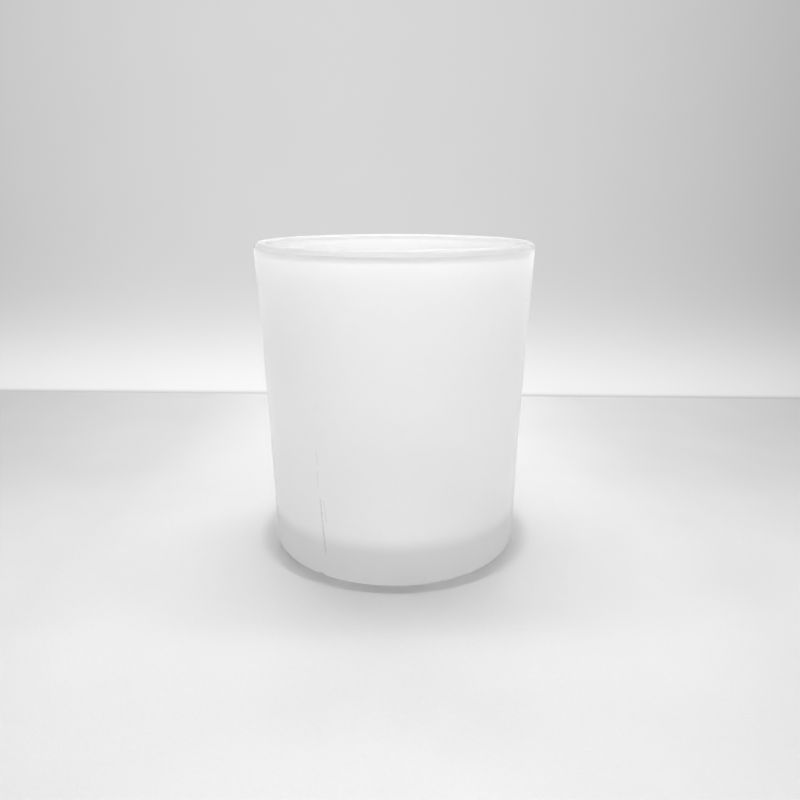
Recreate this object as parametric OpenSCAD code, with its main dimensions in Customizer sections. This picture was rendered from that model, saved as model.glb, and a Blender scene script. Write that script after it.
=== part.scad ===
// Candle jar: a pressed glass tumbler with a thick base, a rounded lip and a
// slightly flared wall, and the matt spray coat that frosts its outside.
// Millimetres, +Z up. The origin is the centre of the ring that the jar stands on.

/* [Body] */
// Height from the standing ring to the top of the lip
height = 90; // [70:1:120]
// Outside diameter of the glass at the lip
rim_d = 79.4; // [70:0.2:100]
// Outside diameter of the glass where the line of its wall reaches the table
base_d = 73.6; // [60:0.2:90]
// How far the wall bows inwards at half height
bow = 0.32; // [0:0.02:1]

/* [Glass] */
// Thickness of the wall at the lip, which is a half round of this width
wall = 3.2; // [2.4:0.1:4.5]
// Thickness of the wall where it meets the base
wall_low = 3.6; // [2.4:0.1:5]
// Height of the inside floor above the table
base_t = 9.6; // [6:0.2:14]
// Radius of the inside corner between floor and wall
corner_r = 5; // [2:0.5:9]
// Radius of the heel, outside
heel_r = 1.6; // [1:0.1:3]
// Width of the flat ring that the jar stands on
ring_w = 4.6; // [3:0.2:12]
// Depth of the shallow dish inside that ring
dish_t = 1.4; // [0.6:0.1:2.5]

/* [Coat] */
// Thickness of the matt coat
coat_t = 0.12; // [0.1:0.01:0.3]
// Height of the coat's lower edge, part way down the heel
coat_foot = 0.15; // [0.1:0.05:1]

/* [Hidden] */
$fn = 180;
wall_steps = 6;
lip_r = wall / 2;
lip_z = height - lip_r;
heel_x = wall_r(heel_r) - heel_r;
dish_x = heel_x - ring_w;
dish_r = (pow(dish_x, 2) + pow(dish_t, 2)) / (2 * dish_t);

// Outside radius of the glass at height z: a straight taper, bowed in by a parabola
function wall_r(z) =
    let (t = z / height)
    (base_d + (rim_d - base_d) * t) / 2 - 4 * bow * t * (1 - t);

// Thickness of the glass wall at height z
function wall_t(z) = wall_low + (wall - wall_low) * (z - base_t) / (lip_z - base_t);

// Points up the wall from z0 to z1, each moved out by grow
function wall_line(z0, z1, grow = 0) = [
    for (i = [0 : wall_steps])
        let (z = z0 + (z1 - z0) * i / wall_steps)
        [wall_r(z) + grow, z]
];

// The same points on the inside of the wall
function bore_line(z0, z1) = [for (p = wall_line(z0, z1)) [p[0] - wall_t(p[1]), p[1]]];

// The quarter of a disc that lies below and outside its centre
module corner_round(r) {
    intersection() {
        circle(r = r);
        translate([0, -r]) square(r);
    }
}

// Half section of the solid outside of the jar, up to where the lip starts
module outside() {
    polygon(concat([[0, 0], [heel_x, 0], [heel_x, heel_r]], wall_line(heel_r, lip_z), [[0, lip_z]]));
    translate([heel_x, heel_r]) corner_round(heel_r);
}

// Half section of the space that holds the wax
module cavity() {
    corner_z = base_t + corner_r;
    corner_x = wall_r(corner_z) - wall_t(corner_z) - corner_r;
    floor_side = [[0, base_t], [corner_x, base_t], [corner_x, corner_z]];
    polygon(concat(floor_side, bore_line(corner_z, lip_z), [[0, lip_z]]));
    translate([corner_x, corner_z]) corner_round(corner_r);
}

// Half section of the lip, a half disc that tops the wall
module lip() {
    translate([wall_r(lip_z) - lip_r, lip_z])
        intersection() {
            circle(r = lip_r);
            translate([-lip_r, 0]) square([wall, lip_r]);
        }
}

// The pressed glass: wall, thick base and lip in one piece, dished underneath
module glass_jar() {
    color("azure", 0.5)
        difference() {
            rotate_extrude() {
                difference() {
                    outside();
                    cavity();
                }
                lip();
            }
            translate([0, 0, dish_t - dish_r]) sphere(r = dish_r, $fn = 720);
        }
}

// The matt coat: a thin skin on the outside, from the heel to where the lip starts
module frost_coat() {
    color("whitesmoke")
        rotate_extrude() {
            difference() {
                polygon(concat([[heel_x, heel_r]], wall_line(heel_r, lip_z, coat_t), [[heel_x, lip_z]]));
                outside();
            }
            translate([heel_x, heel_r])
                difference() {
                    corner_round(heel_r + coat_t);
                    circle(r = heel_r);
                    translate([0, -2 * heel_r]) square([2 * heel_r, heel_r + coat_foot]);
                }
        }
}

glass_jar();
frost_coat();
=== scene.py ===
"""Looks of an empty frosted candle jar: clear pressed glass under a milky matt coat. Metres, +Z up."""
import math
import bmesh
import bpy
from mathutils import Matrix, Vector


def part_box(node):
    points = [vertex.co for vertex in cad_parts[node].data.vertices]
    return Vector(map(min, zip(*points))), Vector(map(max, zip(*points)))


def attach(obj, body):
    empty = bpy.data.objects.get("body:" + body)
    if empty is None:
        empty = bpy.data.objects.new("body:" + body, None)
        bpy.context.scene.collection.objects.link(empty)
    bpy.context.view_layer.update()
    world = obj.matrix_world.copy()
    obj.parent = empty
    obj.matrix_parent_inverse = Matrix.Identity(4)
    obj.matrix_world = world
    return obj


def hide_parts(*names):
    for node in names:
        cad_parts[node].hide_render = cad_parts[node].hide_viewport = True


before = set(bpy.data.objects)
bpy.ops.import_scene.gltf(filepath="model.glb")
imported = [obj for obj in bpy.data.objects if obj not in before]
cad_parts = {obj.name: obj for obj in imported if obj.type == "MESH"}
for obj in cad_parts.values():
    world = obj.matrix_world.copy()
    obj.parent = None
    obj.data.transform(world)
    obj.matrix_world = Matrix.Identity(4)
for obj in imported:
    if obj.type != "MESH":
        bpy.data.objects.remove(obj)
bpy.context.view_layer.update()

MM = 0.001

# ---- the jar's outline, in millimetres, as the CAD model has it ----
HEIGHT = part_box("glass_jar")[1].z / MM
RIM_D = 79.4        # outside of the glass, where its wall's line reaches the top
BASE_D = 73.6       # the same at the table
BOW = 0.32          # how far the wall bows inwards at half height
WALL = 3.2          # wall thickness at the lip
WALL_LOW = 3.6      # wall thickness where it meets the base
BASE_T = 9.6        # height of the inside floor
CORNER_R = 5.0      # inside corner
HEEL_R = 1.6        # outside heel
RING_W = 4.6        # flat ring that the jar stands on
DISH_T = 1.4        # depth of the dish inside that ring
COAT_T = 0.12       # thickness of the coat
COAT_FOOT = 0.15    # height of the coat's lower edge
LIP_R = WALL / 2
LIP_Z = HEIGHT - LIP_R
GLASS_SIDES = 256
COAT_SIDES = 512
DISH_STEPS = 12         # steps of the outline along each run
FLOOR_STEPS = 8
HEEL_STEPS = 8
BARE_HEEL_STEPS = 4
CORNER_STEPS = 16
LIP_STEPS = 24
WALL_STEPS = 24
COAT_STEPS = 48

BUMP_STRENGTH = 0.3     # how strongly all reliefs bend the light

# ---- the glass, as light meets it ----
GLASS_IOR = 1.5
WAVE_SCALE = 140.0      # waves left by the mould, per metre
WAVE_DEPTH = 0.03       # mm
SMEAR_SCALE = 60.0      # patches of slightly duller glass, per metre
SMEAR_ROUGH = 0.03
CLEAR_ROUGH = 0.02
LIP_ROUGH = 0.6         # roughness at the lip, where overspray has dulled the glass
DULL_LOW = 75.0         # height in mm where that dulling starts
LIP_SHADE_TONE = 0.8          # painted shade at the lip: a grey tint for light lost on its long way inside the glass
LIP_SHADE_LOW = 87.5         # heights in mm between which that painted shade comes in
LIP_SHADE_HIGH = 90.0

# ---- the coat, as light meets it ----
COAT_TONE = 1.0         # whiteness of the coat over the hollow part
BAND_SHADE_TONE = 0.8         # painted shade: less whiteness where the solid base is behind it, for the darker glow there
BAND_LOW = 9.2          # heights in mm between which the one turns into the other
BAND_HIGH = 15.0
THIN_AND_SHADE_TONE = 0.78        # share of the whiteness that is left at the lip: partly the coat running out, partly painted shade for the dark line under the lip
THIN_LOW = 87.0
THIN_HIGH = 88.4
COAT_FORWARD = 0.5      # share of the milky light that goes on through the coat
MILK_SHARE = 0.7        # the rest passes as through rough glass
COAT_ROUGH = 0.6
CLOUD_SCALE = 70.0      # faint cloudiness of the spray, per metre
CLOUD_DEPTH = 0.008
GRAIN_SCALE = 2600.0    # fine grain of the spray, per metre
GRAIN_DEPTH = 0.012
TOOTH_SCALE = 3000.0    # relief of that grain
TOOTH_DEPTH = 0.03      # mm
FREE_UNEVEN = 0.005     # unevenness that costs the coat no whiteness

# ---- marks on the front of the coat, in mm: x is across, z is height ----
SCRATCH_WIDE = 0.2
SCRATCH_END = 0.08      # how gradually a scratch fades at its ends: higher is slower
FLECK_SCALE = 700.0     # breaks in the scratches, per metre
FLECK_DEPTH = 2.0
SCRATCHES = [
    # x and z of the lower end, x and z of the upper end, depth
    (-18.96, 7.0, -20.13, 24.6, 0.28),
    (-20.60, 27.0, -20.70, 31.6, 0.14),
    (-20.50, 33.4, -20.80, 38.0, 0.12),
    (-18.51, 16.8, -19.15, 23.9, 0.15),
]
SPOTS = [
    # x, z, half width, half height, depth: a speck, and a nick in the heel
    (-20.6, 49.5, 0.22, 0.22, 0.2),
    # the nick: a real break in the coat, painted dark as shade, the shadow under the heel seen through
    # bare glass
    (-20.3, 0.7, 0.9, 0.45, 0.6),
]

# ---- camera, in metres ----
CAMERA_BACK = 0.2065
CAMERA_UP = 0.1016
CAMERA_PITCH = math.radians(-15.99)
CAMERA_YAW = math.radians(-0.443)
CAMERA_ROLL = math.radians(0.084)
LENS_MM = 31.67
SENSOR_MM = 36
NEAR_CLIP = 0.005

# ---- studio ----
STAGE_HALF = 1.0
STAGE_UP = 0.6
STAGE_BEHIND = 0.05     # how far the floor runs on behind the wall
FLOOR_Z = -0.00003
FLOOR_TONE = 0.6        # paint of the floor in front of the jar
FLOOR_FAR_SHADE_TONE = 0.46   # and behind it, darker as painted shade
FLOOR_NEAR_Y = -0.06
FLOOR_FAR_Y = 0.05
FLOOR_SIDE_SHADE_FALLOFF = 17.0    # how fast painted shade darkens the floor to both sides
# the least share of the floor's tone that painted shade to the sides leaves
FLOOR_SIDE_SHADE_LEAST = 0.84
FLOOR_ROUGH = 0.6
FLOOR_GRAIN_SCALE = 900.0
FLOOR_GRAIN_DEPTH = 0.03
FLOOR_CLOUD_SCALE = 35.0
FLOOR_CLOUD_DEPTH = 0.04
FLOOR_TOOTH_SCALE = 1500.0
FLOOR_TOOTH_DEPTH = 0.1  # mm
WALL_Y = 0.158
WALL_TURN = math.radians(-2.2)
WALL_LEVEL = 0.68
WALL_FOOT_LEVEL = 0.27  # extra glow along the wall's foot
WALL_FOOT = 0.038       # how far up that glow reaches
WALL_GAP = 0.0012       # height of the shadow where the wall meets the floor
WALL_GAP_DEPTH = 0.3
WALL_MIDDLE = -0.03
WALL_FALLOFF = 6.0
WALL_LEAST = 0.4
WALL_CLOUD_SCALE = 25.0
WALL_CLOUD_DEPTH = 0.03
ROOM_LIGHT = [
    # axis, direction, level of the soft light from there
    ("X", 1, 0.27),
    ("Y", -1, 0.81),
    ("Z", 1, 0.7),
]
LAMPS = [
    # name, length, width, y, height, share of the light on the floor below
    ("high_lamp", 0.07, 0.004, -0.034, 2.0, 0.28),
    ("middle_lamp", 0.26, 0.03, 0.005, 0.27, 0.49),
    ("back_lamp", 0.26, 0.08, 0.10, 0.27, 0.83),
]
MOST_BOUNCES = 64


# ---------- shape ----------

def wall_r(z):
    """Outside radius of the glass at height z."""
    t = z / HEIGHT
    return (BASE_D + (RIM_D - BASE_D) * t) / 2 - 4 * BOW * t * (1 - t)


def wall_t(z):
    """Thickness of the glass wall at height z."""
    return WALL_LOW + (WALL - WALL_LOW) * (z - BASE_T) / (LIP_Z - BASE_T)


def arc(x, z, radius, start, end, steps):
    """Points round an arc from angle start to end, in degrees, without its last point."""
    turns = [math.radians(start + (end - start) * i / steps) for i in range(steps)]
    return [(x + radius * math.cos(a), z + radius * math.sin(a)) for a in turns]


def rise(start, end, steps, radius):
    """Points (radius(z), z) from height start to end, without the last point."""
    heights = [start + (end - start) * i / steps for i in range(steps)]
    return [(radius(z), z) for z in heights]


def foot_turn(radius):
    """Angle round the heel, in degrees, where a skin of that radius is at the coat's lower edge."""
    return -math.degrees(math.asin((HEEL_R - COAT_FOOT) / radius))


def underside(heel_x):
    """The dish under the jar and the flat ring round it, from the middle out."""
    dish_x = heel_x - RING_W
    dish_r = (dish_x ** 2 + DISH_T ** 2) / (2 * DISH_T)
    dish = []
    for i in range(DISH_STEPS):
        x = dish_x * i / DISH_STEPS
        dish.append((x, DISH_T - dish_r + math.sqrt(dish_r ** 2 - x ** 2)))
    return dish + [(dish_x, 0.0), (dish_x + RING_W / 2, 0.0)]


def glass_outline():
    """The glass: its underside from the middle out, up the wall, over the lip and down inside.
    Each run has the number of its material: 0 is bare glass, 1 is glass with the coat on it."""
    heel_x = wall_r(HEEL_R) - HEEL_R
    bare = underside(heel_x)
    bare += arc(heel_x, HEEL_R, HEEL_R, -90, foot_turn(HEEL_R), BARE_HEEL_STEPS)
    coated = arc(heel_x, HEEL_R, HEEL_R, foot_turn(HEEL_R), 0, HEEL_STEPS)
    coated += rise(HEEL_R, LIP_Z, WALL_STEPS, wall_r)
    lip = arc(wall_r(LIP_Z) - LIP_R, LIP_Z, LIP_R, 0, 180, LIP_STEPS)
    corner_z = BASE_T + CORNER_R
    corner_x = wall_r(corner_z) - wall_t(corner_z) - CORNER_R
    bore = rise(LIP_Z, corner_z, WALL_STEPS, lambda z: wall_r(z) - wall_t(z))
    corner = arc(corner_x, corner_z, CORNER_R, 0, -90, CORNER_STEPS)
    floor = [(corner_x * (1 - i / FLOOR_STEPS), BASE_T) for i in range(FLOOR_STEPS + 1)]
    return [(bare, 0), (coated, 1), (lip + bore + corner + floor, 0)]


def coat_outline():
    """The coat: up its outside and over its top edge, down its inside and across its foot.
    Material 0 is frost, and 1 is the inside, which lies on the glass."""
    heel_x = wall_r(HEEL_R) - HEEL_R
    outer = arc(heel_x, HEEL_R, HEEL_R + COAT_T, foot_turn(HEEL_R + COAT_T), 0, HEEL_STEPS)
    outer += rise(HEEL_R, LIP_Z, COAT_STEPS, lambda z: wall_r(z) + COAT_T)
    outer += [(wall_r(LIP_Z) + COAT_T, LIP_Z)]
    inner = rise(LIP_Z, HEEL_R, WALL_STEPS, wall_r)
    inner += arc(heel_x, HEEL_R, HEEL_R, 0, foot_turn(HEEL_R), HEEL_STEPS)
    foot = arc(heel_x, HEEL_R, HEEL_R, foot_turn(HEEL_R), 0, 1)
    return [(outer, 0), (inner, 1), (foot, 0)]


def lathe(name, runs, sides):
    """A closed surface of revolution. runs is a list of (points, material number), each run ending
    where the next starts, and the outline runs anticlockwise round the solid. A point on the axis
    becomes a pole."""
    outline = [(r, z, slot) for points, slot in runs for r, z in points]
    mesh = bpy.data.meshes.new(name)
    build = bmesh.new()
    turns = [2 * math.pi * i / sides for i in range(sides)]
    rings = []
    for r, z, _ in outline:
        if r < 1e-6:
            rings.append([build.verts.new((0, 0, z * MM))])
            continue
        ring = [(r * MM * math.cos(a), r * MM * math.sin(a), z * MM) for a in turns]
        rings.append([build.verts.new(place) for place in ring])
    closed = len(rings[0]) > 1
    for k in range(len(rings) if closed else len(rings) - 1):
        low, high = rings[k], rings[(k + 1) % len(rings)]
        for i in range(sides):
            j = (i + 1) % sides
            corners = [low[i % len(low)], low[j % len(low)]]
            corners += [high[j % len(high)], high[i % len(high)]]
            face = build.faces.new(list(dict.fromkeys(corners)))
            face.material_index = outline[k][2]
            face.smooth = True
    build.normal_update()
    build.to_mesh(mesh)
    build.free()
    piece = bpy.data.objects.new(name, mesh)
    bpy.context.scene.collection.objects.link(piece)
    return piece


# ---------- materials ----------

def grey(level):
    return (level, level, level, 1.0)


class Tree:
    """Shader nodes of a material or the world, made and linked one at a time."""

    def __init__(self, owner, output):
        owner.use_nodes = True
        self.owner = owner
        self.nodes = owner.node_tree.nodes
        self.nodes.clear()
        self.out = self.nodes.new(output)

    def set(self, socket, value):
        if isinstance(value, bpy.types.NodeSocket):
            self.owner.node_tree.links.new(value, socket)
        else:
            socket.default_value = value

    def add(self, kind, **inputs):
        """A new node; Base_Color=... sets or links its input "Base Color"."""
        node = self.nodes.new("ShaderNode" + kind)
        for key, value in inputs.items():
            self.set(node.inputs[key.replace("_", " ")], value)
        return node

    def math(self, operation, *values):
        node = self.nodes.new("ShaderNodeMath")
        node.operation = operation
        for socket, value in zip(node.inputs, values):
            self.set(socket, value)
        return node.outputs[0]

    def square(self, value):
        return self.math("MULTIPLY", value, value)

    def bell(self, value, size):
        """1 where value is 0, falling off smoothly on both sides, to 0.37 at that size."""
        away = self.square(self.math("DIVIDE", value, size))
        return self.math("EXPONENT", self.math("MULTIPLY", away, -1.0))

    def ramp(self, value, low, high, start, end):
        """Eases from start, where value is low, to end, where it is high."""
        node = self.add("MapRange", Value=value, From_Min=low, From_Max=high, To_Min=start,
                        To_Max=end)
        node.interpolation_type = "SMOOTHSTEP"
        return node.outputs[0]

    def noise(self, place, scale, detail, depth=1.0):
        """Smooth noise from 0 to depth; scale is features per metre."""
        node = self.add("TexNoise", Vector=place, Scale=scale, Detail=detail)
        return self.math("MULTIPLY", node.outputs[0], depth)

    def colour(self, level):
        """A neutral colour from a computed level."""
        return self.add("CombineXYZ", X=level, Y=level, Z=level).outputs[0]

    def relief(self, height, depth):
        """A bumped normal, for relief of that depth in metres."""
        return self.add("Bump", Height=height, Strength=BUMP_STRENGTH, Distance=depth).outputs[0]

    def mix(self, share, first, second):
        """A blend of two shaders, with that share of the second."""
        node = self.nodes.new("ShaderNodeMixShader")
        node.inputs[0].default_value = share
        self.set(node.inputs[1], first)
        self.set(node.inputs[2], second)
        return node.outputs[0]

    def finish(self, shader):
        self.set(self.out.inputs["Surface"], shader)
        return self.owner


def new_material(name):
    return Tree(bpy.data.materials.new(name), "ShaderNodeOutputMaterial")


def clear_glass():
    """Pressed glass: clear, with the faint waves that a mould leaves, duller towards the lip and greyer
    there as painted shade."""
    tree = new_material("clear_glass")
    place = tree.add("TexCoord").outputs["Object"]
    up = tree.add("SeparateXYZ", Vector=place).outputs["Z"]
    waves = tree.relief(tree.noise(place, WAVE_SCALE, 1.0), WAVE_DEPTH * MM)
    dull = tree.add("MapRange", Value=up, From_Min=DULL_LOW * MM, From_Max=LIP_Z * MM,
                    To_Min=CLEAR_ROUGH, To_Max=LIP_ROUGH).outputs[0]
    rough = tree.math("ADD", dull, tree.noise(place, SMEAR_SCALE, 3.0, SMEAR_ROUGH))
    # painted shade: the glass greyed towards the lip
    lip_shade = tree.colour(tree.ramp(up, LIP_SHADE_LOW * MM, LIP_SHADE_HIGH * MM, 1.0, LIP_SHADE_TONE))
    glass = tree.add("BsdfPrincipled", Base_Color=lip_shade, Roughness=rough, IOR=GLASS_IOR,
                     Transmission_Weight=1.0, Normal=waves)
    return tree.finish(glass.outputs[0])


def bonded():
    """Where coat and glass meet there is no air, so the face does nothing to light."""
    tree = new_material("bonded_face")
    return tree.finish(tree.add("BsdfTransparent").outputs[0])


def scratch(tree, across, up, fleck, mark):
    """How strongly one scratch darkens the coat: a thin line that fades at its ends."""
    low_x, low_z, high_x, high_z, depth = mark
    along = tree.math("DIVIDE", tree.math("SUBTRACT", up, low_z * MM), (high_z - low_z) * MM)
    centre = tree.math("MULTIPLY_ADD", along, (high_x - low_x) * MM, low_x * MM)
    line = tree.bell(tree.math("SUBTRACT", across, centre), SCRATCH_WIDE * MM)
    inside = tree.math("MULTIPLY", along, tree.math("SUBTRACT", 1.0, along))
    ends = tree.ramp(inside, 0.0, SCRATCH_END, 0.0, depth)
    return tree.math("MULTIPLY", tree.math("MULTIPLY", line, ends), fleck)


def spot(tree, across, up, mark):
    """How strongly one small mark darkens the coat."""
    x, z, half_wide, half_high, depth = mark
    side = tree.bell(tree.math("SUBTRACT", across, x * MM), half_wide * MM)
    over = tree.bell(tree.math("SUBTRACT", up, z * MM), half_high * MM)
    return tree.math("MULTIPLY", tree.math("MULTIPLY", side, over), depth)


def coat_marks(tree, place, split):
    """The scratches and spots, which are on the front of the jar only."""
    across, up = split.outputs["X"], split.outputs["Z"]
    fleck = tree.noise(place, FLECK_SCALE, 2.0, FLECK_DEPTH)
    marks = 0.0
    for mark in SPOTS:
        marks = tree.math("ADD", spot(tree, across, up, mark), marks)
    for mark in SCRATCHES:
        marks = tree.math("ADD", scratch(tree, across, up, fleck, mark), marks)
    front = tree.math("LESS_THAN", split.outputs["Y"], 0.0)
    return tree.math("MULTIPLY", marks, front)


def coat_tone(tree, place):
    """The coat's whiteness: less over the solid base as painted shade, less at the lip where the coat
    runs out and as painted shade, with cloud, grain and marks.
    """
    split = tree.add("SeparateXYZ", Vector=place)
    up = split.outputs["Z"]
    # painted shade: the coat is made greyer where the solid base is behind it
    band_shade = tree.ramp(up, BAND_LOW * MM, BAND_HIGH * MM, BAND_SHADE_TONE, COAT_TONE)
    # partly a thinner coat, partly painted shade: the coat greyer just under the lip
    thin = tree.ramp(up, THIN_LOW * MM, THIN_HIGH * MM, 1.0, THIN_AND_SHADE_TONE)
    uneven = tree.math("ADD", tree.noise(place, CLOUD_SCALE, 2.0, CLOUD_DEPTH),
                       tree.noise(place, GRAIN_SCALE, 1.0, GRAIN_DEPTH))
    lost = tree.math("SUBTRACT", uneven, FREE_UNEVEN)
    tone = tree.math("SUBTRACT", tree.math("MULTIPLY", band_shade, thin), lost)
    tone = tree.math("MULTIPLY", tone, tree.math("SUBTRACT", 1.0, coat_marks(tree, place, split)))
    return tree.math("MINIMUM", tone, 1.0)


def frost():
    """The sprayed matt coat: fine-grained and milky, it lets light through and scatters it."""
    tree = new_material("frost")
    place = tree.add("TexCoord").outputs["Object"]
    white = tree.colour(coat_tone(tree, place))
    tooth = tree.relief(tree.noise(place, TOOTH_SCALE, 2.0), TOOTH_DEPTH * MM)
    rough = tree.add("BsdfPrincipled", Base_Color=grey(1.0), Roughness=COAT_ROUGH, IOR=GLASS_IOR,
                     Transmission_Weight=1.0, Normal=tooth)
    through = tree.add("BsdfTranslucent", Color=white, Normal=tooth)
    back = tree.add("BsdfDiffuse", Color=white, Normal=tooth)
    milk = tree.mix(1 - COAT_FORWARD, through.outputs[0], back.outputs[0])
    return tree.finish(tree.mix(MILK_SHARE, rough.outputs[0], milk))


def floor_paint_and_shade():
    """Pale painted board with a faint tooth, with painted shade that makes it a little darker towards
    the wall and the sides.
    """
    tree = new_material("floor_paint_and_shade")
    place = tree.add("NewGeometry").outputs["Position"]
    split = tree.add("SeparateXYZ", Vector=place)
    # painted shade: the floor's tone made darker towards the wall and to both sides
    depth = tree.add("MapRange", Value=split.outputs["Y"], From_Min=FLOOR_NEAR_Y,
                     From_Max=FLOOR_FAR_Y, To_Min=FLOOR_TONE, To_Max=FLOOR_FAR_SHADE_TONE).outputs[0]
    side = tree.math("MULTIPLY_ADD", tree.square(split.outputs["X"]), -FLOOR_SIDE_SHADE_FALLOFF, 1.0)
    level = tree.math("MULTIPLY", depth, tree.math("MAXIMUM", side, FLOOR_SIDE_SHADE_LEAST))
    uneven = tree.math("ADD", tree.noise(place, FLOOR_GRAIN_SCALE, 3.0, FLOOR_GRAIN_DEPTH),
                       tree.noise(place, FLOOR_CLOUD_SCALE, 3.0, FLOOR_CLOUD_DEPTH))
    middle = (FLOOR_GRAIN_DEPTH + FLOOR_CLOUD_DEPTH) / 2
    tone = tree.math("ADD", level, tree.math("SUBTRACT", uneven, middle))
    tooth = tree.relief(tree.noise(place, FLOOR_TOOTH_SCALE, 3.0), FLOOR_TOOTH_DEPTH * MM)
    board = tree.add("BsdfPrincipled", Base_Color=tree.colour(tone), Roughness=FLOOR_ROUGH,
                     Normal=tooth)
    return tree.finish(board.outputs[0])


def wall_glow():
    """The wall behind, brightest just above its foot and darker to the sides, with a thin
    shadow where it stands."""
    tree = new_material("wall_glow")
    place = tree.add("NewGeometry").outputs["Position"]
    split = tree.add("SeparateXYZ", Vector=place)
    foot = tree.bell(split.outputs["Z"], WALL_FOOT)
    gap = tree.math("MULTIPLY_ADD", tree.bell(split.outputs["Z"], WALL_GAP), -WALL_GAP_DEPTH, 1.0)
    across = tree.square(tree.math("SUBTRACT", split.outputs["X"], WALL_MIDDLE))
    side = tree.math("MAXIMUM", tree.math("MULTIPLY_ADD", across, -WALL_FALLOFF, 1.0), WALL_LEAST)
    level = tree.math("MULTIPLY_ADD", foot, WALL_FOOT_LEVEL, tree.math("MULTIPLY", side, WALL_LEVEL))
    cloud = tree.math("ADD", tree.noise(place, WALL_CLOUD_SCALE, 3.0, WALL_CLOUD_DEPTH),
                      1 - WALL_CLOUD_DEPTH / 2)
    strength = tree.math("MULTIPLY", level, tree.math("MULTIPLY", cloud, gap))
    return tree.finish(tree.add("Emission", Strength=strength).outputs[0])


# ---------- jar ----------

def make_glass():
    glass = lathe("jar_glass", glass_outline(), GLASS_SIDES)
    glass.data.materials.append(clear_glass())
    glass.data.materials.append(bonded())
    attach(glass, "root")
    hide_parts("glass_jar")


def make_coat():
    coat = lathe("jar_coat", coat_outline(), COAT_SIDES)
    coat.data.materials.append(frost())
    coat.data.materials.append(bonded())
    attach(coat, "root")
    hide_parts("frost_coat")


# ---------- studio ----------

def sheet(name, corners, material):
    mesh = bpy.data.meshes.new(name)
    mesh.from_pydata(corners, [], [(0, 1, 2, 3)])
    thing = bpy.data.objects.new(name, mesh)
    thing.data.materials.append(material)
    bpy.context.scene.collection.objects.link(thing)
    return thing


def make_stage():
    half = STAGE_HALF
    end = WALL_Y + STAGE_BEHIND
    ground = [(-half, -half, FLOOR_Z), (half, -half, FLOOR_Z)]
    ground += [(half, end, FLOOR_Z), (-half, end, FLOOR_Z)]
    sheet("floor", ground, floor_paint_and_shade())
    upright = [(-half, 0, FLOOR_Z), (half, 0, FLOOR_Z), (half, 0, STAGE_UP), (-half, 0, STAGE_UP)]
    wall = sheet("wall", upright, wall_glow())
    wall.location = (0, WALL_Y, 0)
    wall.rotation_euler = (0, 0, WALL_TURN)


def make_room():
    """Soft light from the right, the front and above. Each follows the square of how far a
    direction points there."""
    world = bpy.data.worlds.new("soft_room")
    bpy.context.scene.world = world
    tree = Tree(world, "ShaderNodeOutputWorld")
    split = tree.add("SeparateXYZ", Vector=tree.add("TexCoord").outputs["Generated"])
    level = 0.0
    for axis, sign, strength in ROOM_LIGHT:
        facing = tree.math("MAXIMUM", tree.math("MULTIPLY", split.outputs[axis], sign), 0.0)
        level = tree.math("MULTIPLY_ADD", tree.square(facing), strength, level)
    tree.finish(tree.add("Background", Color=grey(1.0), Strength=level).outputs[0])


def overhead(name, length, width, y, up, share):
    """A lamp that faces down. share is how bright it alone makes white paper right under it."""
    far_x, far_y = math.hypot(length / 2, up), math.hypot(width / 2, up)
    seen_x = length / 2 / far_x * math.atan(width / 2 / far_x)
    seen_y = width / 2 / far_y * math.atan(length / 2 / far_y)
    seen = 2 / math.pi * (seen_x + seen_y)
    data = bpy.data.lights.new(name, "AREA")
    data.shape = "RECTANGLE"
    data.size = length
    data.size_y = width
    data.energy = share / seen * math.pi * length * width
    lamp = bpy.data.objects.new(name, data)
    lamp.location = (0, y, up)
    lamp.visible_camera = False
    lamp.visible_glossy = False
    bpy.context.scene.collection.objects.link(lamp)
    return lamp


def make_lights():
    """Lamps over the jar: a small high one for the crisp shadow at the heel, and two broad low ones."""
    make_room()
    lamps = [overhead(*lamp) for lamp in LAMPS]
    lamps[0].visible_transmission = False


def make_camera():
    data = bpy.data.cameras.new("camera")
    data.lens = LENS_MM
    data.sensor_width = SENSOR_MM
    data.clip_start = NEAR_CLIP
    camera = bpy.data.objects.new("camera", data)
    stand = Matrix.Translation((0, -CAMERA_BACK, CAMERA_UP))
    aim = Matrix.Rotation(CAMERA_YAW, 4, "Z") @ Matrix.Rotation(math.pi / 2 + CAMERA_PITCH, 4, "X")
    camera.matrix_world = stand @ aim @ Matrix.Rotation(CAMERA_ROLL, 4, "Z")
    bpy.context.scene.collection.objects.link(camera)
    bpy.context.scene.camera = camera


def set_render():
    """Enough bounces for light that wanders inside the coated glass, and none of it clipped."""
    scene = bpy.context.scene
    scene.view_settings.view_transform = "Standard"
    scene.cycles.max_bounces = MOST_BOUNCES
    scene.cycles.transmission_bounces = MOST_BOUNCES
    scene.cycles.transparent_max_bounces = MOST_BOUNCES
    scene.cycles.diffuse_bounces = MOST_BOUNCES
    scene.cycles.glossy_bounces = MOST_BOUNCES
    scene.cycles.use_denoising = True
    scene.cycles.blur_glossy = 0.0


make_camera()
make_glass()
make_coat()
make_stage()
make_lights()
set_render()
